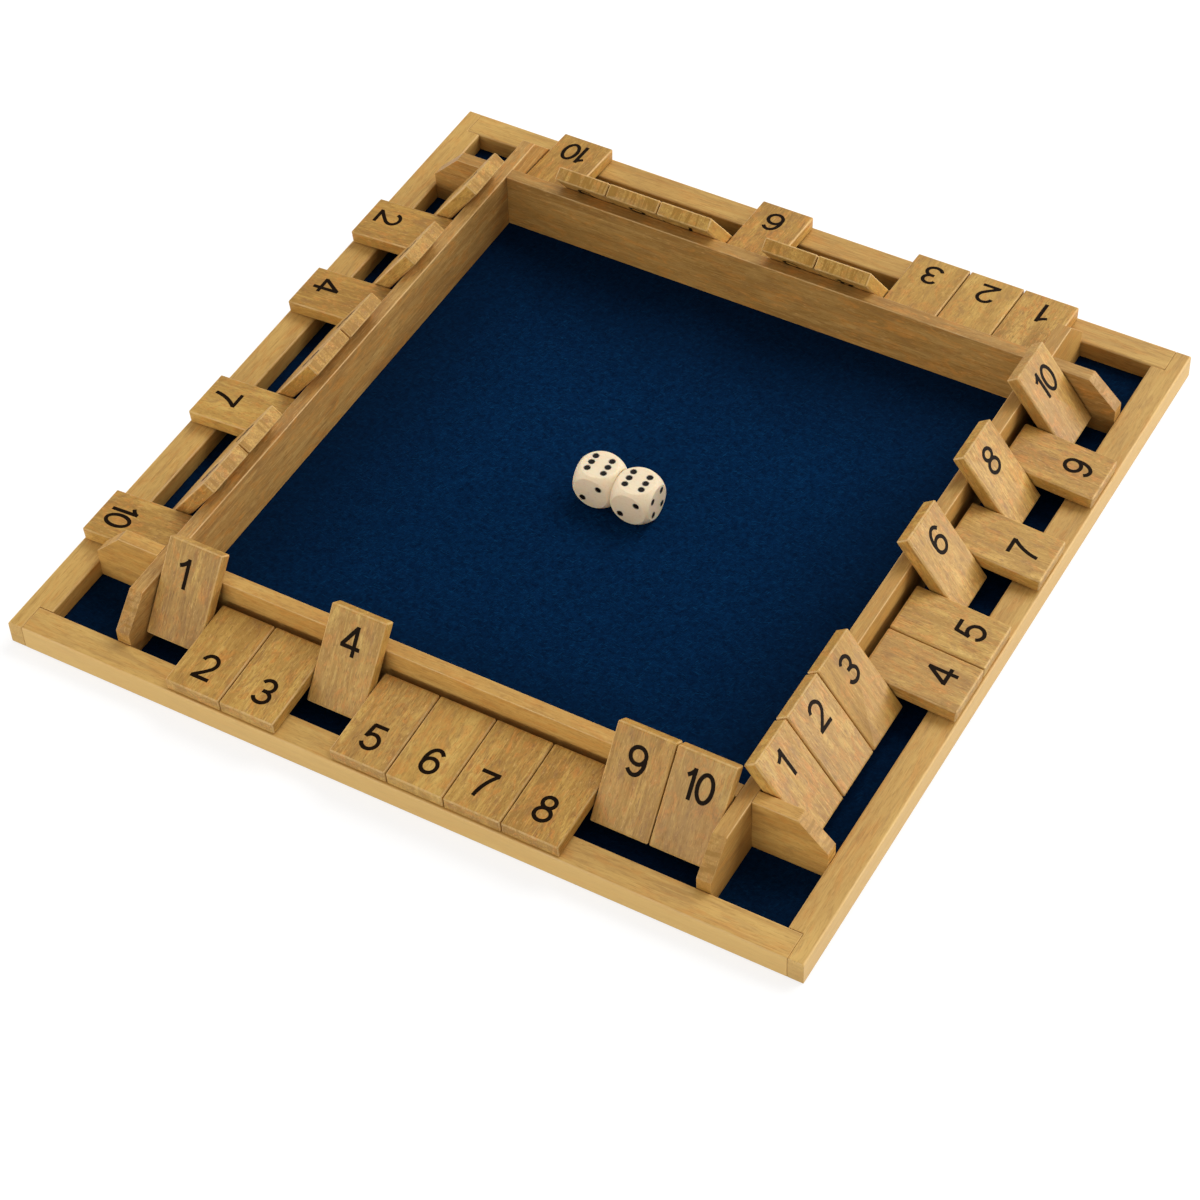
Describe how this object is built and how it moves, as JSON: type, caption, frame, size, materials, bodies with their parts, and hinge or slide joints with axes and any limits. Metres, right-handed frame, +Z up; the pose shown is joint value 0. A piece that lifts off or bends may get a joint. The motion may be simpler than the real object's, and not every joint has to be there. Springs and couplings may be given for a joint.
{
  "type": "four-player shut the box game",
  "caption": "Square felt-lined dice tray walled by crossed wooden rails, with a row of flip-up numbered tiles on a rod along each side and two loose wooden dice.",
  "frame": {"origin": "centre of the board's flat underside, on the table", "axes": "+Z up out of the tray; front is -Y, right is +X, and each side's numbers run 1 to 10 from that side's player's left to right"},
  "size_m": [0.32, 0.32, 0.0383],
  "materials": {
    "base_panel": "plain sanded plywood, unlacquered",
    "felt": "dark navy felt, matt and fibrous",
    "frame_wood": "honey coloured wood under satin lacquer",
    "rail_wood": "honey coloured wood under satin lacquer",
    "tile_wood": "tan wood under satin lacquer",
    "number_ink": "black printing ink, the numbers on both faces of every tile",
    "rod_steel": "plain drawn steel wire",
    "dice_wood": "pale close-grained wood, sanded and left bare",
    "pip_paint": "black paint in the drilled pips of the dice"
  },
  "bodies": {
    "board": {"base_board": "base_panel", "playing_felt": "felt", "frame_front": "frame_wood", "frame_right": "frame_wood", "frame_far": "frame_wood", "frame_left": "frame_wood", "rail_front": "rail_wood", "rail_right": "rail_wood", "rail_far": "rail_wood", "rail_left": "rail_wood", "rod_front": "rod_steel", "rod_right": "rod_steel", "rod_far": "rod_steel", "rod_left": "rod_steel"},
    "tile_front_01": {"tile_front_01": "tile_wood"},
    "tile_front_02": {"tile_front_02": "tile_wood"},
    "tile_front_03": {"tile_front_03": "tile_wood"},
    "tile_front_04": {"tile_front_04": "tile_wood"},
    "tile_front_05": {"tile_front_05": "tile_wood"},
    "tile_front_06": {"tile_front_06": "tile_wood"},
    "tile_front_07": {"tile_front_07": "tile_wood"},
    "tile_front_08": {"tile_front_08": "tile_wood"},
    "tile_front_09": {"tile_front_09": "tile_wood"},
    "tile_front_10": {"tile_front_10": "tile_wood"},
    "tile_right_01": {"tile_right_01": "tile_wood"},
    "tile_right_02": {"tile_right_02": "tile_wood"},
    "tile_right_03": {"tile_right_03": "tile_wood"},
    "tile_right_04": {"tile_right_04": "tile_wood"},
    "tile_right_05": {"tile_right_05": "tile_wood"},
    "tile_right_06": {"tile_right_06": "tile_wood"},
    "tile_right_07": {"tile_right_07": "tile_wood"},
    "tile_right_08": {"tile_right_08": "tile_wood"},
    "tile_right_09": {"tile_right_09": "tile_wood"},
    "tile_right_10": {"tile_right_10": "tile_wood"},
    "tile_far_01": {"tile_far_01": "tile_wood"},
    "tile_far_02": {"tile_far_02": "tile_wood"},
    "tile_far_03": {"tile_far_03": "tile_wood"},
    "tile_far_04": {"tile_far_04": "tile_wood"},
    "tile_far_05": {"tile_far_05": "tile_wood"},
    "tile_far_06": {"tile_far_06": "tile_wood"},
    "tile_far_07": {"tile_far_07": "tile_wood"},
    "tile_far_08": {"tile_far_08": "tile_wood"},
    "tile_far_09": {"tile_far_09": "tile_wood"},
    "tile_far_10": {"tile_far_10": "tile_wood"},
    "tile_left_01": {"tile_left_01": "tile_wood"},
    "tile_left_02": {"tile_left_02": "tile_wood"},
    "tile_left_03": {"tile_left_03": "tile_wood"},
    "tile_left_04": {"tile_left_04": "tile_wood"},
    "tile_left_05": {"tile_left_05": "tile_wood"},
    "tile_left_06": {"tile_left_06": "tile_wood"},
    "tile_left_07": {"tile_left_07": "tile_wood"},
    "tile_left_08": {"tile_left_08": "tile_wood"},
    "tile_left_09": {"tile_left_09": "tile_wood"},
    "tile_left_10": {"tile_left_10": "tile_wood"},
    "die_left": {"die_left": "dice_wood"},
    "die_right": {"die_right": "dice_wood"}
  },
  "joints": [
    {"name": "flip_front_01", "type": "hinge", "parent": "board", "child": "tile_front_01", "pos_m": [-0.10251, -0.132, 0.015], "axis": [1, 0, 0], "range_deg": [0, 131.08]},
    {"name": "flip_front_02", "type": "hinge", "parent": "board", "child": "tile_front_02", "pos_m": [-0.07973, -0.132, 0.015], "axis": [-1, 0, 0], "range_deg": [0, 131.08]},
    {"name": "flip_front_03", "type": "hinge", "parent": "board", "child": "tile_front_03", "pos_m": [-0.05695, -0.132, 0.015], "axis": [-1, 0, 0], "range_deg": [0, 131.08]},
    {"name": "flip_front_04", "type": "hinge", "parent": "board", "child": "tile_front_04", "pos_m": [-0.03417, -0.132, 0.015], "axis": [1, 0, 0], "range_deg": [0, 131.08]},
    {"name": "flip_front_05", "type": "hinge", "parent": "board", "child": "tile_front_05", "pos_m": [-0.01139, -0.132, 0.015], "axis": [-1, 0, 0], "range_deg": [0, 131.08]},
    {"name": "flip_front_06", "type": "hinge", "parent": "board", "child": "tile_front_06", "pos_m": [0.01139, -0.132, 0.015], "axis": [-1, 0, 0], "range_deg": [0, 131.08]},
    {"name": "flip_front_07", "type": "hinge", "parent": "board", "child": "tile_front_07", "pos_m": [0.03417, -0.132, 0.015], "axis": [-1, 0, 0], "range_deg": [0, 131.08]},
    {"name": "flip_front_08", "type": "hinge", "parent": "board", "child": "tile_front_08", "pos_m": [0.05695, -0.132, 0.015], "axis": [-1, 0, 0], "range_deg": [0, 131.08]},
    {"name": "flip_front_09", "type": "hinge", "parent": "board", "child": "tile_front_09", "pos_m": [0.07973, -0.132, 0.015], "axis": [1, 0, 0], "range_deg": [0, 131.08]},
    {"name": "flip_front_10", "type": "hinge", "parent": "board", "child": "tile_front_10", "pos_m": [0.10251, -0.132, 0.015], "axis": [1, 0, 0], "range_deg": [0, 131.08]},
    {"name": "flip_right_01", "type": "hinge", "parent": "board", "child": "tile_right_01", "pos_m": [0.132, -0.10251, 0.015], "axis": [0, 1, 0], "range_deg": [0, 131.08]},
    {"name": "flip_right_02", "type": "hinge", "parent": "board", "child": "tile_right_02", "pos_m": [0.132, -0.07973, 0.015], "axis": [0, 1, 0], "range_deg": [0, 131.08]},
    {"name": "flip_right_03", "type": "hinge", "parent": "board", "child": "tile_right_03", "pos_m": [0.132, -0.05695, 0.015], "axis": [0, 1, 0], "range_deg": [0, 131.08]},
    {"name": "flip_right_04", "type": "hinge", "parent": "board", "child": "tile_right_04", "pos_m": [0.132, -0.03417, 0.015], "axis": [0, -1, 0], "range_deg": [0, 131.08]},
    {"name": "flip_right_05", "type": "hinge", "parent": "board", "child": "tile_right_05", "pos_m": [0.132, -0.01139, 0.015], "axis": [0, -1, 0], "range_deg": [0, 131.08]},
    {"name": "flip_right_06", "type": "hinge", "parent": "board", "child": "tile_right_06", "pos_m": [0.132, 0.01139, 0.015], "axis": [0, 1, 0], "range_deg": [0, 131.08]},
    {"name": "flip_right_07", "type": "hinge", "parent": "board", "child": "tile_right_07", "pos_m": [0.132, 0.03417, 0.015], "axis": [0, -1, 0], "range_deg": [0, 131.08]},
    {"name": "flip_right_08", "type": "hinge", "parent": "board", "child": "tile_right_08", "pos_m": [0.132, 0.05695, 0.015], "axis": [0, 1, 0], "range_deg": [0, 131.08]},
    {"name": "flip_right_09", "type": "hinge", "parent": "board", "child": "tile_right_09", "pos_m": [0.132, 0.07973, 0.015], "axis": [0, -1, 0], "range_deg": [0, 131.08]},
    {"name": "flip_right_10", "type": "hinge", "parent": "board", "child": "tile_right_10", "pos_m": [0.132, 0.10251, 0.015], "axis": [0, 1, 0], "range_deg": [0, 131.08]},
    {"name": "flip_far_01", "type": "hinge", "parent": "board", "child": "tile_far_01", "pos_m": [0.10251, 0.132, 0.015], "axis": [1, 0, 0], "range_deg": [0, 131.08]},
    {"name": "flip_far_02", "type": "hinge", "parent": "board", "child": "tile_far_02", "pos_m": [0.07973, 0.132, 0.015], "axis": [1, 0, 0], "range_deg": [0, 131.08]},
    {"name": "flip_far_03", "type": "hinge", "parent": "board", "child": "tile_far_03", "pos_m": [0.05695, 0.132, 0.015], "axis": [1, 0, 0], "range_deg": [0, 131.08]},
    {"name": "flip_far_04", "type": "hinge", "parent": "board", "child": "tile_far_04", "pos_m": [0.03417, 0.132, 0.015], "axis": [-1, 0, 0], "range_deg": [0, 131.08]},
    {"name": "flip_far_05", "type": "hinge", "parent": "board", "child": "tile_far_05", "pos_m": [0.01139, 0.132, 0.015], "axis": [-1, 0, 0], "range_deg": [0, 131.08]},
    {"name": "flip_far_06", "type": "hinge", "parent": "board", "child": "tile_far_06", "pos_m": [-0.01139, 0.132, 0.015], "axis": [1, 0, 0], "range_deg": [0, 131.08]},
    {"name": "flip_far_07", "type": "hinge", "parent": "board", "child": "tile_far_07", "pos_m": [-0.03417, 0.132, 0.015], "axis": [-1, 0, 0], "range_deg": [0, 131.08]},
    {"name": "flip_far_08", "type": "hinge", "parent": "board", "child": "tile_far_08", "pos_m": [-0.05695, 0.132, 0.015], "axis": [-1, 0, 0], "range_deg": [0, 131.08]},
    {"name": "flip_far_09", "type": "hinge", "parent": "board", "child": "tile_far_09", "pos_m": [-0.07973, 0.132, 0.015], "axis": [-1, 0, 0], "range_deg": [0, 131.08]},
    {"name": "flip_far_10", "type": "hinge", "parent": "board", "child": "tile_far_10", "pos_m": [-0.10251, 0.132, 0.015], "axis": [1, 0, 0], "range_deg": [0, 131.08]},
    {"name": "flip_left_01", "type": "hinge", "parent": "board", "child": "tile_left_01", "pos_m": [-0.132, 0.10251, 0.015], "axis": [0, -1, 0], "range_deg": [0, 131.08]},
    {"name": "flip_left_02", "type": "hinge", "parent": "board", "child": "tile_left_02", "pos_m": [-0.132, 0.07973, 0.015], "axis": [0, 1, 0], "range_deg": [0, 131.08]},
    {"name": "flip_left_03", "type": "hinge", "parent": "board", "child": "tile_left_03", "pos_m": [-0.132, 0.05695, 0.015], "axis": [0, -1, 0], "range_deg": [0, 131.08]},
    {"name": "flip_left_04", "type": "hinge", "parent": "board", "child": "tile_left_04", "pos_m": [-0.132, 0.03417, 0.015], "axis": [0, 1, 0], "range_deg": [0, 131.08]},
    {"name": "flip_left_05", "type": "hinge", "parent": "board", "child": "tile_left_05", "pos_m": [-0.132, 0.01139, 0.015], "axis": [0, -1, 0], "range_deg": [0, 131.08]},
    {"name": "flip_left_06", "type": "hinge", "parent": "board", "child": "tile_left_06", "pos_m": [-0.132, -0.01139, 0.015], "axis": [0, -1, 0], "range_deg": [0, 131.08]},
    {"name": "flip_left_07", "type": "hinge", "parent": "board", "child": "tile_left_07", "pos_m": [-0.132, -0.03417, 0.015], "axis": [0, 1, 0], "range_deg": [0, 131.08]},
    {"name": "flip_left_08", "type": "hinge", "parent": "board", "child": "tile_left_08", "pos_m": [-0.132, -0.05695, 0.015], "axis": [0, -1, 0], "range_deg": [0, 131.08]},
    {"name": "flip_left_09", "type": "hinge", "parent": "board", "child": "tile_left_09", "pos_m": [-0.132, -0.07973, 0.015], "axis": [0, -1, 0], "range_deg": [0, 131.08]},
    {"name": "flip_left_10", "type": "hinge", "parent": "board", "child": "tile_left_10", "pos_m": [-0.132, -0.10251, 0.015], "axis": [0, 1, 0], "range_deg": [0, 131.08]},
    {"name": "lift_die_left", "type": "slide", "parent": "board", "child": "die_left", "axis": [0, 0, 1], "range_m": [0, 0.1]},
    {"name": "lift_die_right", "type": "slide", "parent": "board", "child": "die_right", "axis": [0, 0, 1], "range_m": [0, 0.1]}
  ]
}
